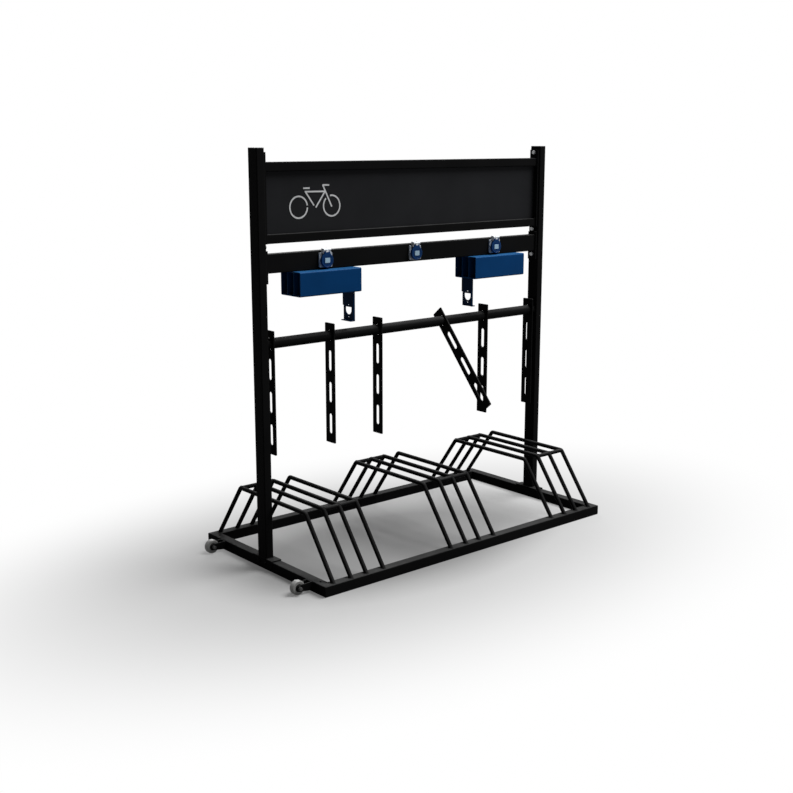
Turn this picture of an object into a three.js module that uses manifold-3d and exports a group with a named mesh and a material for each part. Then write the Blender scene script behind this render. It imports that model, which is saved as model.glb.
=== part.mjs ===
// Mobile double-sided bicycle rack: base frame with ramp bars, two posts with a sign,
// a socket rail, a lock bar with swinging lock straps, and two transport wheels.
// Millimetres, X along the rack, Y through it (front is negative), Z up, floor at zero.
import * as THREE from "three";
import { mergeVertices } from "three/addons/utils/BufferGeometryUtils.js";
import Module from "manifold-3d";

const wasm = await Module();
wasm.setup();

// Gaps and cuts shared by all the pieces
const seam = 0.2;
const runGap = 0.6;
const overrun = 5;
const roundSides = 24;
const cornerSteps = 3;
const barSides = 16;
const bendSteps = 4;

// Base frame
const baseLength = 1324;
const baseDepth = 700;
const baseTube = 36;
const baseWall = 2;
const rivetHole = 7;
const rivetDepth = 1.2;
const rivetInset = 14;

// Ramp bars and the rods that tie them
const barWide = 15;
const barBend = 4;
const rampTop = 240.5;
const rampCornerHalf = 191;
const wheelSlot = 64;
const sideSlot = 72.5;
const rampEndGap = 6.5;
const rampFootInset = 15;

// Lock bar and lock straps
const barHeight = 768;
const barDiameter = 36;
const barWall = 2.5;
const strapWidth = 50;
const strapLength = 420;
const strapThickness = 5;
const strapAbove = 44;
const strapCorner = 3;
const strapEndGap = 18.5;
const strapMiddleX = 366;
const strapInnerX = 155;
const strapTiltDegrees = 40;
const slotWidth = 17;
const firstSlot = 94;
const slotBridge = 39;
const lastSlotGap = 32;
const slotCount = 3;

// Hanger plates under the boxes
const hangerGap = 44;
const hangerLength = 105;
const hangerWidth = 54;
const hangerShoulder = 5;
const hangerNeck = 52;
const hangerWall = 3;
const hangerReturn = 8;
const hangerInset = 15;
const hangerFoot = 12;
const hangerHoleWidth = 33;
const hangerHoleHeight = 26;
const hangerHoleRise = 48;
const hangerPin = 5;
const hangerPinGap = 8;

// Boxes under the socket rail
const boxLength = 256;
const boxDepth = 110;
const boxHeight = 82;
const boxWall = 3;
const boxEndGap = 100.6;
const channelCount = 3;

// Socket rail
const railHeight = 63;
const railDepth = 30;
const railWall = 2;
const socketPitch = 398;
const socketShift = 3;
const socketWidth = 54;
const socketMarginHigh = 5.5;
const socketMarginLow = 6;
const socketPlate = 6;
const socketCorner = 6;
const collarDepth = 5;
const collarWall = 3;
const lidMarginHigh = 8.2;
const lidMarginLow = 4.8;
const lidThickness = 4;
const lidOverlap = 2;
const lugWidth = 24;
const labelWidth = 20.5;
const labelHeight = 16.5;
const labelRise = 0.8;
const hingeRadius = 5;
const hingeRise = 7.5;
const hingePin = 3;
const lidKnuckle = 10;
const endKnuckle = 10;

// Sign
const signGap = 32;
const signHeight = 259;
const signTube = 30;
const signWall = 2;
const panelThickness = 4;

// Posts, their caps and feet
const postWidth = 30;
const postDepth = 50;
const postWall = 2;
const postAbove = 45;
const capThickness = 3;
const capPlug = 12;
const footLength = 114;
const footWall = 4;
const footFlange = 3;
const footDrop = 22;
const footBoltPitch = 36;

// End plates that bolt the sign and the rail to the posts
const plateWall = 8;
const plateWidth = 40;
const signPlateRise = 31;
const earWidth = 18;
const earDrop = 21;
const boltInset = 10;
const railPlateRise = 10.3;
const railPlateDrop = 33;
const railBoltDrop = 13;
const boltFlats = 13;
const boltHead = 5;

// Transport wheels at the left end
const wheelDiameter = 48;
const wheelWidth = 20;
const wheelRound = 4;
const wheelReach = 49;
const frontWheelInset = 85;
const rearWheelInset = 102;
const hubDiameter = 26;
const hubRecess = 2;
const axleDiameter = 8;
const axleFlats = 10;
const axleHead = 9;
const axleNut = 6;
const forkWall = 4;
const forkGap = 1.5;
const forkEnd = 22;
const forkRoot = 34;
const forkPlate = 3;

// Places worked out from the sizes above
const baseHalf = baseLength / 2;
const depthHalf = baseDepth / 2;
const crossbarX = baseHalf - baseTube / 2;
const postX = baseHalf + footFlange - postWidth / 2;
const postInner = postX - postWidth / 2;
const plateInner = postInner - seam - plateWall;
const railHalf = plateInner - seam;
const boxInnerX = railHalf - boxEndGap - boxLength;
const groupHalf = wheelSlot / 2 + sideSlot;
const groupPitch = baseHalf - baseTube - rampEndGap - groupHalf;
const hangerBottom = barHeight + hangerGap;
const boxBottom = hangerBottom + hangerLength;
const railBottom = boxBottom + boxHeight;
const railTop = railBottom + railHeight;
const signBottom = railTop + signGap;
const signTop = signBottom + signHeight;
const postTop = signTop + postAbove;
const slotRun = strapLength - firstSlot - lastSlotGap - (slotCount - 1) * slotBridge;
const slotLength = slotRun / slotCount;
const slotPitch = slotLength + slotBridge;
const frontWheelY = frontWheelInset - depthHalf;
const rearWheelY = depthHalf - rearWheelInset;
const footTop = baseTube + seam + footWall;

// Colours of the plain solids
const black = new THREE.MeshStandardMaterial({ color: 0x16171a, roughness: 0.55, metalness: 0.3 });
const slate = new THREE.MeshStandardMaterial({ color: 0x2a2d31, roughness: 0.6 });
const blue = new THREE.MeshStandardMaterial({ color: 0x12406e, roughness: 0.45 });
const pale = new THREE.MeshStandardMaterial({ color: 0xc9ced4, roughness: 0.5 });
const grey = new THREE.MeshStandardMaterial({ color: 0xa9abad, roughness: 0.6 });

// The pieces are placed about the middle of the base, then moved so that the origin is
// below the middle of the whole rack, wheels and foot bolts included
const leftEnd = -baseHalf - wheelReach - wheelDiameter / 2;
const rightEnd = baseHalf + seam + footFlange + boltHead;
const centreShift = -(leftEnd + rightEnd) / 2;

const group = new THREE.Group();
group.name = "mobile_bicycle_rack";

function add(name, geometry, material) {
  geometry.translate(centreShift, 0, 0);
  const mesh = new THREE.Mesh(geometry, material);
  mesh.name = name;
  group.add(mesh);
}

// Solids and their joins and cuts
function toSolid(geometry) {
  const bare = geometry.clone();
  bare.deleteAttribute("normal");
  bare.deleteAttribute("uv");
  const merged = mergeVertices(bare);
  return new wasm.Manifold(new wasm.Mesh({
    numProp: 3,
    vertProperties: new Float32Array(merged.attributes.position.array),
    triVerts: new Uint32Array(merged.index.array),
  }));
}

function toGeometry(solid) {
  const mesh = solid.getMesh();
  const geometry = new THREE.BufferGeometry();
  const stride = mesh.numProp;
  const count = mesh.vertProperties.length / stride;
  const position = new Float32Array(count * 3);
  for (let i = 0; i < count; i += 1) {
    for (let k = 0; k < 3; k += 1) position[i * 3 + k] = mesh.vertProperties[i * stride + k];
  }
  geometry.setAttribute("position", new THREE.BufferAttribute(position, 3));
  geometry.setIndex(new THREE.BufferAttribute(new Uint32Array(mesh.triVerts), 1));
  geometry.computeVertexNormals();
  return geometry;
}

function join(first, ...rest) {
  return toGeometry(rest.reduce((sum, piece) => sum.add(toSolid(piece)), toSolid(first)));
}

function cut(body, ...tools) {
  return toGeometry(tools.reduce((sum, tool) => sum.subtract(toSolid(tool)), toSolid(body)));
}

// A box between two corners
function block(x0, x1, y0, y1, z0, z1) {
  const box = new THREE.BoxGeometry(Math.abs(x1 - x0), Math.abs(y1 - y0), Math.abs(z1 - z0));
  box.translate((x0 + x1) / 2, (y0 + y1) / 2, (z0 + z1) / 2);
  return box;
}

function extrude(shape, depth) {
  return new THREE.ExtrudeGeometry(shape, {
    depth, bevelEnabled: false, curveSegments: cornerSteps,
  });
}

const axisX = new THREE.Vector3(1, 0, 0);
const axisY = new THREE.Vector3(0, 1, 0);
const axisZ = new THREE.Vector3(0, 0, 1);

// An outline drawn in Y and Z, run along X from x0 to x1
function alongX(shape, x0, x1) {
  const solid = extrude(shape, x1 - x0);
  solid.applyMatrix4(new THREE.Matrix4().makeBasis(axisY, axisZ, axisX));
  solid.translate(x0, 0, 0);
  return solid;
}

// An outline drawn in X and Z, run along Y from y0 to y1
function alongY(shape, y0, y1) {
  const solid = extrude(shape, y1 - y0);
  const back = axisY.clone().negate();
  solid.applyMatrix4(new THREE.Matrix4().makeBasis(axisX, axisZ, back));
  solid.translate(0, y1, 0);
  return solid;
}

function polygon(points) {
  return new THREE.Shape(points.map(([a, b]) => new THREE.Vector2(a, b)));
}

// A regular outline of the given radius about one point
function ringOutline(a, b, radius, sides, turn) {
  const points = [];
  for (let i = 0; i < sides; i += 1) {
    const angle = turn + (2 * Math.PI * i) / sides;
    points.push(new THREE.Vector2(a + radius * Math.cos(angle), b + radius * Math.sin(angle)));
  }
  return points;
}

function disc(a, b, radius) {
  return new THREE.Shape(ringOutline(a, b, radius, roundSides, 0));
}

// A hexagon across its flats
function hexagon(a, b, flats) {
  return new THREE.Shape(ringOutline(a, b, flats / 2 / Math.cos(Math.PI / 6), 6, 0));
}

// A rectangle with rounded corners, about one middle
function roundedRectangle(a, b, width, height, radius) {
  const left = a - width / 2;
  const right = a + width / 2;
  const low = b - height / 2;
  const high = b + height / 2;
  const shape = new THREE.Shape();
  shape.moveTo(left + radius, low);
  shape.lineTo(right - radius, low);
  shape.absarc(right - radius, low + radius, radius, -Math.PI / 2, 0, false);
  shape.absarc(right - radius, high - radius, radius, 0, Math.PI / 2, false);
  shape.absarc(left + radius, high - radius, radius, Math.PI / 2, Math.PI, false);
  shape.absarc(left + radius, low + radius, radius, Math.PI, Math.PI * 1.5, false);
  return shape;
}

// Base rails and crossbars, square tubes mitred at the corners
function mitredTube(alongLength, side) {
  const half = alongLength ? baseHalf : depthHalf;
  const edge = (alongLength ? depthHalf : baseHalf) * side;
  const inside = edge - baseTube * side;
  const outer = half - seam;
  const inner = half - baseTube - seam;
  const corners = [[-outer, edge], [outer, edge], [inner, inside], [-inner, inside]];
  const plan = polygon(corners.map(([run, place]) => (alongLength ? [run, place] : [place, run])));
  const body = extrude(plan, baseTube);
  const near = edge - baseWall * side;
  const far = inside + baseWall * side;
  const reach = half + overrun;
  const bore = alongLength
    ? block(-reach, reach, near, far, baseWall, baseTube - baseWall)
    : block(near, far, -reach, reach, baseWall, baseTube - baseWall);
  return [body, bore];
}

function addBase() {
  for (const [name, side] of [["front", -1], ["rear", 1]]) {
    add("base_rail_" + name, cut(...mitredTube(true, side)), black);
  }
  for (const [name, side] of [["left", -1], ["right", 1]]) {
    const rivets = [];
    for (const end of [-1, 1]) {
      const inset = depthHalf - baseTube - rivetInset;
      const plan = disc(side * crossbarX, end * inset, rivetHole / 2);
      const hole = extrude(plan, overrun);
      hole.translate(0, 0, baseTube - rivetDepth);
      rivets.push(hole);
    }
    add("base_crossbar_" + name, cut(...mitredTube(false, side), ...rivets), black);
  }
}

// Ramp bars: one round bar bent to a flat-topped arch from the front rail to the rear rail
const rampFootHalf = depthHalf - rampFootInset;
const barMiddleTop = rampTop - barWide / 2;
const rampFloor = baseTube + seam;
const legAngle = Math.atan2(barMiddleTop - rampFloor, rampFootHalf - rampCornerHalf);
const bendRadius = barBend + barWide / 2;
const bendY = rampCornerHalf - bendRadius * Math.tan(legAngle / 2);
const bendZ = barMiddleTop - bendRadius;

// A path that stops only at the given points, each with its own direction
class StationPath extends THREE.Curve {
  constructor(stations) {
    super();
    this.stations = stations;
  }

  at(u) {
    return this.stations[Math.round(u * (this.stations.length - 1))];
  }

  getPointAt(u) {
    return this.at(u).point.clone();
  }

  getTangentAt(u) {
    return this.at(u).direction.clone();
  }
}

function rampPath(x) {
  const stations = [];
  const put = (y, z, angle) => stations.push({
    point: new THREE.Vector3(x, y, z),
    direction: new THREE.Vector3(0, Math.cos(angle), Math.sin(angle)),
  });
  const footY = rampFootHalf + barWide * Math.cos(legAngle);
  const footZ = rampFloor - barWide * Math.sin(legAngle);
  put(-footY, footZ, legAngle);
  for (const [side, from] of [[-1, legAngle], [1, 0]]) {
    for (let i = 0; i <= bendSteps; i += 1) {
      const angle = from - (legAngle * i) / bendSteps;
      const y = side * bendY - bendRadius * Math.sin(angle);
      put(y, bendZ + bendRadius * Math.cos(angle), angle);
    }
  }
  put(footY, footZ, -legAngle);
  return new StationPath(stations);
}

function bentBar(x, radius) {
  const path = rampPath(x);
  const round = new THREE.Shape(ringOutline(0, 0, radius, barSides, Math.PI / barSides));
  const bar = new THREE.ExtrudeGeometry(round, {
    steps: path.stations.length - 1, extrudePath: path, bevelEnabled: false,
  });
  const reach = depthHalf + barWide;
  const below = block(x - barWide, x + barWide, -reach, reach, -baseTube, rampFloor);
  return cut(bar, below);
}

// The middle bars carry a rod in one corner that is shaped to the bars beside them
function barWithRod(x, side, from, to) {
  const radius = barWide / 2;
  const y = side * (bendY + bendRadius * Math.sin(legAngle / 2));
  const z = bendZ + bendRadius * Math.cos(legAngle / 2);
  const outline = new THREE.Shape(ringOutline(y, z, radius, barSides, Math.PI / barSides));
  const rod = alongX(outline, from + radius / 2, to - radius / 2);
  const shaped = cut(rod, bentBar(from, radius + seam), bentBar(to, radius + seam));
  return join(bentBar(x, radius), shaped);
}

function addRamps() {
  const places = [-groupHalf, -wheelSlot / 2, wheelSlot / 2, groupHalf];
  for (const [index, middle] of [-groupPitch, 0, groupPitch].entries()) {
    const name = "ramp_" + (index + 1) + "_bar_";
    const [a, b, c, d] = places.map((place) => middle + place);
    add(name + "a", bentBar(a, barWide / 2), black);
    add(name + "b_with_rod", barWithRod(b, 1, a, c), black);
    add(name + "c_with_rod", barWithRod(c, -1, b, d), black);
    add(name + "d", bentBar(d, barWide / 2), black);
  }
}

// Posts with an angle foot on the crossbar and a cap in the open top
function addPosts() {
  const half = [postWidth / 2, postDepth / 2];
  const bore = half.map((size) => size - postWall);
  const plug = bore.map((size) => size - seam);
  const postEnd = postTop - capThickness - seam;
  for (const [name, sign] of [["left", -1], ["right", 1]]) {
    const x = sign * postX;
    const upright = ([across, deep], low, high) =>
      block(x - across, x + across, -deep, deep, low, high);
    const tube = upright(half, footTop + seam, postEnd);
    const hollow = upright(bore, footTop - overrun, postTop + overrun);
    add("post_" + name, cut(tube, hollow), black);

    const lid = upright(half, postTop - capThickness, postTop);
    const stem = upright(plug, postTop - capThickness - capPlug, postTop - capThickness / 2);
    add("post_cap_" + name, join(lid, stem), black);
    add("post_foot_" + name, postFoot(sign), black);
  }
}

function postFoot(sign) {
  const inner = sign * (baseHalf - baseTube);
  const face = sign * (baseHalf + seam);
  const outer = face + sign * footFlange;
  const low = footTop - footWall - footDrop;
  const under = footTop - footWall;
  const angle = polygon([
    [inner, under], [face, under], [face, low], [outer, low], [outer, footTop], [inner, footTop],
  ]);
  const pieces = [alongY(angle, -footLength / 2, footLength / 2)];
  const run = [face + (outer - face) / 2, outer + sign * boltHead].sort((a, b) => a - b);
  for (const y of [-footBoltPitch / 2, footBoltPitch / 2]) {
    pieces.push(alongX(hexagon(y, (low + under) / 2, boltFlats), ...run));
  }
  return join(...pieces);
}

// Sign: two square rails with a thin panel between them, and bolted end plates
function hollowRail(half, depth, low, high, wall) {
  const outer = block(-half, half, -depth / 2, depth / 2, low, high);
  const inner = block(-half - overrun, half + overrun,
    -depth / 2 + wall, depth / 2 - wall, low + wall, high - wall);
  return cut(outer, inner);
}

function addSign() {
  add("sign_rail_top",
    hollowRail(railHalf, signTube, signTop - signTube, signTop, signWall), black);
  add("sign_rail_bottom",
    hollowRail(railHalf, signTube, signBottom, signBottom + signTube, signWall), black);
  const panel = block(-railHalf, railHalf, -panelThickness / 2, panelThickness / 2,
    signBottom + signTube + seam, signTop - signTube - seam);
  add("sign_panel", panel, slate);

  const half = plateWidth / 2;
  const ear = earWidth / 2;
  const top = signTop + signPlateRise;
  const low = signBottom - earDrop;
  const plate = polygon([
    [-ear, low], [ear, low], [ear, signBottom], [half, signBottom],
    [half, top], [-half, top], [-half, signBottom], [-ear, signBottom],
  ]);
  addEndPlates("sign_plate", plate, [top - boltInset, low + boltInset]);
}

// One plate on each post's inner face, with hexagon heads at the given heights
function addEndPlates(name, outline, heights) {
  const far = postInner - seam;
  for (const [end, sign] of [["left", -1], ["right", 1]]) {
    const run = [sign * plateInner, sign * far].sort((a, b) => a - b);
    const pieces = [alongX(outline, ...run)];
    for (const z of heights) {
      const head = [sign * (plateInner - boltHead), sign * (plateInner + plateWall / 2)];
      pieces.push(alongX(hexagon(0, z, boltFlats), ...head.sort((a, b) => a - b)));
    }
    add(name + "_" + end, join(...pieces), black);
  }
}

function addSocketRail() {
  add("socket_rail", hollowRail(railHalf, railDepth, railBottom, railTop, railWall), black);
  const half = plateWidth / 2;
  const low = railBottom - railPlateDrop;
  const top = railTop + railPlateRise;
  const plate = polygon([[-half, low], [half, low], [half, top], [-half, top]]);
  addEndPlates("rail_plate", plate, [low + railPlateDrop - railBoltDrop]);
}

// Sockets: a square frame with a round collar, and a sprung round lid hinged at the top
const socketBack = -railDepth / 2 - seam;
const socketFace = socketBack - socketPlate;
const collarFace = socketFace - collarDepth;
const socketHigh = railTop - socketMarginHigh;
const socketLow = railBottom + socketMarginLow;
const lidRadius = (railHeight - lidMarginHigh - lidMarginLow) / 2;
const lidMiddle = railBottom + lidMarginLow + lidRadius;
const collarRadius = lidRadius - lidOverlap;
const hingeY = socketFace - hingeRadius;
const hingeZ = socketHigh + hingeRise;

function socketFrame(x) {
  const outline = roundedRectangle(x, (socketLow + socketHigh) / 2,
    socketWidth, socketHigh - socketLow, socketCorner);
  const plate = alongY(outline, socketFace, socketBack);
  const outer = disc(x, lidMiddle, collarRadius);
  outer.holes.push(new THREE.Path(
    ringOutline(x, lidMiddle, collarRadius - collarWall, roundSides, 0)));
  const collar = alongY(outer, collarFace, socketFace + socketPlate / 2);
  const pieces = [collar];
  const inside = lidKnuckle / 2 + seam;
  const outside = inside + endKnuckle;
  for (const run of [[x - outside, x - inside], [x + inside, x + outside]]) {
    pieces.push(alongX(disc(hingeY, hingeZ, hingeRadius), ...run));
    pieces.push(block(run[0], run[1], hingeY, socketBack - seam,
      socketHigh - hingeRadius, hingeZ));
  }
  pieces.push(alongX(disc(hingeY, hingeZ, hingePin / 2), x - outside + seam, x + outside - seam));
  return join(plate, ...pieces);
}

function socketLid(x) {
  const back = collarFace - runGap;
  const front = back - lidThickness;
  const half = lidKnuckle / 2;
  const cover = alongY(disc(x, lidMiddle, lidRadius), front, back);
  const label = block(x - labelWidth / 2, x + labelWidth / 2, front - labelRise, back,
    lidMiddle - labelHeight / 2, lidMiddle + labelHeight / 2);
  const lugHigh = hingeZ - hingeRadius - runGap - seam;
  const lug = block(x - lugWidth / 2, x + lugWidth / 2, front, back,
    lidMiddle + lidRadius / 2, lugHigh);
  const neck = block(x - half, x + half, front, back, lidMiddle + lidRadius / 2, hingeZ);
  const knuckle = alongX(disc(hingeY, hingeZ, hingeRadius), x - half, x + half);
  const body = join(cover, label, lug, neck, knuckle);
  const bore = alongX(disc(hingeY, hingeZ, hingePin / 2 + runGap / 2),
    x - half - overrun, x + half + overrun);
  return cut(body, bore);
}

function addSockets() {
  for (const [index, place] of [-socketPitch, 0, socketPitch].entries()) {
    const x = place + socketShift;
    add("socket_frame_" + (index + 1), socketFrame(x), pale);
    add("socket_lid_" + (index + 1), socketLid(x), blue);
  }
}

// Boxes under the rail: open-ended, with upright walls that make three channels
function addBoxes() {
  const low = boxBottom + seam;
  const high = railBottom - seam;
  const channel = (boxDepth - boxWall * (channelCount + 1)) / channelCount;
  for (const [name, sign] of [["left", -1], ["right", 1]]) {
    const near = sign * boxInnerX;
    const far = sign * (boxInnerX + boxLength);
    const tools = [];
    for (let i = 0; i < channelCount; i += 1) {
      const y = -boxDepth / 2 + boxWall + i * (channel + boxWall);
      tools.push(block(near - sign * overrun, far + sign * overrun, y, y + channel,
        low + boxWall, high - boxWall));
    }
    const shell = block(near, far, -boxDepth / 2, boxDepth / 2, low, high);
    add("box_" + name, cut(shell, ...tools), blue);
    add("hanger_" + name, hanger(sign), blue);
  }
}

function hanger(sign) {
  const half = hangerWidth / 2;
  const outer = sign * (boxInnerX + hangerInset);
  const inner = outer - sign * hangerWall;
  const run = [inner, outer].sort((a, b) => a - b);
  const neck = hangerBottom + hangerNeck;
  const web = block(inner, outer, -half, half, hangerBottom, boxBottom);
  const shoulder = block(inner, outer, 0, half + hangerShoulder, neck, boxBottom);
  const edge = block(outer, outer - sign * hangerReturn, -half, -half + hangerWall,
    hangerBottom, boxBottom);
  const foot = block(inner, outer + sign * hangerFoot, -half, half,
    hangerBottom, hangerBottom + hangerWall);

  // The opening is flat at the top and round below
  const across = hangerHoleWidth / 2;
  const flat = hangerBottom + hangerHoleRise;
  const straight = hangerHoleHeight - across;
  const opening = new THREE.Shape();
  opening.moveTo(-across, flat);
  opening.lineTo(-across, flat - straight);
  opening.absarc(0, flat - straight, across, Math.PI, Math.PI * 2, false);
  opening.lineTo(across, flat);
  const upper = flat + hangerPinGap;
  const lower = flat - hangerHoleHeight - hangerPinGap;
  const tools = [opening, disc(0, upper, hangerPin / 2), disc(0, lower, hangerPin / 2)];
  const through = tools.map((tool) => alongX(tool, run[0] - overrun, run[1] + overrun));
  return cut(join(web, shoulder, edge, foot), ...through);
}

// Lock bar between the posts, and the straps that swing on it
function addLockBar() {
  const reach = postInner - seam;
  const shape = disc(0, barHeight, barDiameter / 2);
  shape.holes.push(new THREE.Path(
    ringOutline(0, barHeight, barDiameter / 2 - barWall, roundSides, 0)));
  add("lock_bar", alongX(shape, -reach, reach), black);
}

function strap(x, tilt) {
  const middle = strapAbove - strapLength / 2;
  const shape = roundedRectangle(0, middle, strapWidth, strapLength, strapCorner);
  const eye = barDiameter / 2 + runGap;
  shape.holes.push(new THREE.Path(ringOutline(0, 0, eye, roundSides, 0)));
  for (let i = 0; i < slotCount; i += 1) {
    const centre = strapAbove - firstSlot - slotLength / 2 - i * slotPitch;
    const slot = roundedRectangle(0, centre, slotWidth, slotLength, slotWidth / 2);
    shape.holes.push(new THREE.Path(slot.getPoints(cornerSteps)));
  }
  const plate = alongX(shape, x - strapThickness / 2, x + strapThickness / 2);
  plate.rotateX(tilt);
  plate.translate(0, 0, barHeight);
  return plate;
}

function addStraps() {
  const outer = postInner - strapEndGap - strapThickness / 2;
  const places = [-outer, -strapMiddleX, -strapInnerX, strapInnerX, strapMiddleX, outer];
  const swung = 3;
  for (const [index, x] of places.entries()) {
    const tilt = index === swung ? -THREE.MathUtils.degToRad(strapTiltDegrees) : 0;
    add("lock_strap_" + (index + 1), strap(x, tilt), black);
  }
}

// Transport wheels, each in a fork on the outer face of the left crossbar
const wheelX = -baseHalf - wheelReach;
const wheelZ = wheelDiameter / 2;

function wheel(y) {
  const radius = wheelDiameter / 2;
  const half = wheelWidth / 2;
  const bore = axleDiameter / 2 + runGap / 2;
  const hub = hubDiameter / 2;
  const recess = half - hubRecess;
  const profile = [
    [bore, -recess], [hub, -recess], [hub, -half], [radius - wheelRound, -half],
    [radius - wheelRound / 4, -half + wheelRound / 4],
    [radius, -half + wheelRound], [radius, half - wheelRound],
    [radius - wheelRound / 4, half - wheelRound / 4],
    [radius - wheelRound, half], [hub, half], [hub, recess], [bore, recess], [bore, -recess],
  ];
  const points = profile.map(([r, run]) => new THREE.Vector2(r, run));
  const geometry = new THREE.LatheGeometry(points, roundSides * 2);
  geometry.translate(wheelX, y, wheelZ);
  return geometry;
}

function fork(y) {
  const near = wheelWidth / 2 + forkGap;
  const far = near + forkWall;
  const root = -baseHalf - seam;
  const half = forkEnd / 2;
  const low = wheelZ - forkRoot / 2;
  const high = Math.min(wheelZ + forkRoot / 2, baseTube - seam);
  const arm = polygon([
    [root, low], [root, high], [wheelX, wheelZ + half], [wheelX, wheelZ - half],
  ]);
  const end = disc(wheelX, wheelZ, half);
  const hole = disc(wheelX, wheelZ, axleDiameter / 2 + seam);
  const pieces = [block(root - forkPlate, root, y - far, y + far, low, high)];
  for (const side of [[y - far, y - near], [y + near, y + far]]) {
    pieces.push(alongY(arm, ...side), alongY(end, ...side));
  }
  return cut(join(...pieces), alongY(hole, y - far - overrun, y + far + overrun));
}

function axle(y) {
  const reach = wheelWidth / 2 + forkGap + forkWall + seam;
  const pin = alongY(disc(wheelX, wheelZ, axleDiameter / 2),
    y - reach - axleHead / 2, y + reach + axleNut / 2);
  const hex = hexagon(wheelX, wheelZ, axleFlats);
  const head = alongY(hex, y - reach - axleHead, y - reach);
  const nut = alongY(hex, y + reach, y + reach + axleNut);
  return join(pin, head, nut);
}

function addWheels() {
  for (const [name, y] of [["front", frontWheelY], ["rear", rearWheelY]]) {
    add("wheel_" + name, wheel(y), grey);
    add("wheel_fork_" + name, fork(y), black);
    add("wheel_axle_" + name, axle(y), pale);
  }
}

addBase();
addRamps();
addPosts();
addSign();
addSocketRail();
addSockets();
addBoxes();
addLockBar();
addStraps();
addWheels();

export default group;
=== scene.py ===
# Looks of the mobile bicycle rack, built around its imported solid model.
# Metres, in the model's own frame: X along the rack, Y through it, Z up from the floor.
import math

import bmesh
import bpy
from mathutils import Matrix, Vector


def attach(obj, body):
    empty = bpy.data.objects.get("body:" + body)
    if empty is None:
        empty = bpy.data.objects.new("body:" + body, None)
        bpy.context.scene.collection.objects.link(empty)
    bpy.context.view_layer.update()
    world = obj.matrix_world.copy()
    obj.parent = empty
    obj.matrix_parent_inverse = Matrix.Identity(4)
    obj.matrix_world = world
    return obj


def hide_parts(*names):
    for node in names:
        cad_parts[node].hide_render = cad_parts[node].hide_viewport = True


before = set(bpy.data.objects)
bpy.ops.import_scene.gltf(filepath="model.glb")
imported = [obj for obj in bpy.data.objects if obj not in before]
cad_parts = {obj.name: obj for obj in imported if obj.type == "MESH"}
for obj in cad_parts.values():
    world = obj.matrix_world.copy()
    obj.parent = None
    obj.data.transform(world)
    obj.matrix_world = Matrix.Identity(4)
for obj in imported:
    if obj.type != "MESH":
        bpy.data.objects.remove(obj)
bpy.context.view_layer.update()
scene = bpy.context.scene


def scene_object(name, data):
    item = bpy.data.objects.new(name, data)
    scene.collection.objects.link(item)
    return item


# Camera: at chest height, in front of the rack's left end, looking down along it.
# Its place comes from the corners of the base, the posts and the rails.
camera_place = (-2.7441, -3.1744, 1.4234)
camera_heading = math.radians(40.48)
camera_dip = math.radians(12.305)
picture_side = 793
focal_length = 1179.5
film_side = 36.0

camera_data = bpy.data.cameras.new("camera")
camera_data.sensor_width = film_side
camera_data.lens = focal_length / picture_side * film_side
camera = scene_object("camera", camera_data)
camera.location = camera_place
camera.rotation_euler = (math.pi / 2 - camera_dip, 0, -camera_heading)
scene.camera = camera
scene.view_settings.view_transform = "Standard"


# Room: a matt floor with a painted soft shadow, grey under the rack and running out into white
# all round it, a broad soft lamp high at the front right, a weak one at the back and a dim
# surround that shows as white. The floor throws only part of its light back at the rack.
floor_half = 20.0
# Painted shadow: an ellipse of darker floor colour, set by these numbers, stands in for the shadow
# under the rack.
painted_shadow_centre = (-0.15, -0.09)
painted_shadow_reach = (0.85, 0.51)
painted_shadow_start, painted_shadow_end = 0.55, 0.90
painted_shadow_dark, painted_shadow_pale = 0.25, 0.42
fade_start, fade_end = 0.20, 2.35
floor_bounce = 0.5
surround_strength = 0.05
lamp_list = (
    ("high_lamp", (3.3, -2.0, 6.8), (0.03, 0, 0.4), 5.0, 840.0),
    ("back_lamp", (3.0, 6.0, 4.0), (0.03, 0, 0.4), 3.0, 120.0),
)


def add_node(tree, kind, values=None, **settings):
    """A new node with the given settings, then the given values on its inputs."""
    node = tree.nodes.new(kind)
    for key, value in settings.items():
        setattr(node, key, value)
    for socket, value in (values or {}).items():
        node.inputs[socket].default_value = value
    return node


def wire(source, output, target, socket):
    source.id_data.links.new(source.outputs[output], target.inputs[socket])


def seen_directly(tree):
    """1 for what the camera sees straight, in a mirror or through glass, and 0 for light."""
    path = add_node(tree, "ShaderNodeLightPath")
    node, output = path, "Is Camera Ray"
    for name in ("Is Glossy Ray", "Is Transmission Ray"):
        either = add_node(tree, "ShaderNodeMath", operation="MAXIMUM")
        wire(node, output, either, 0)
        wire(path, name, either, 1)
        node, output = either, 0
    return node


def new_material(name):
    material = bpy.data.materials.new(name)
    material.use_nodes = True
    return material, material.node_tree


world = bpy.data.worlds.new("surround")
world.use_nodes = True
scene.world = world
tree = world.node_tree
background = tree.nodes["Background"]
background.inputs["Color"].default_value = (1, 1, 1, 1)
strength = add_node(tree, "ShaderNodeMapRange", {"To Min": surround_strength, "To Max": 1.0})
wire(seen_directly(tree), 0, strength, "Value")
wire(strength, "Result", background, "Strength")

for name, place, target, side, watts in lamp_list:
    lamp_data = bpy.data.lights.new(name, "AREA")
    lamp_data.shape = "DISK"
    lamp_data.size = side
    lamp_data.energy = watts
    lamp = scene_object(name, lamp_data)
    lamp.location = place
    aim = Vector(target) - Vector(place)
    lamp.rotation_euler = aim.to_track_quat("-Z", "Y").to_euler()

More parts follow.
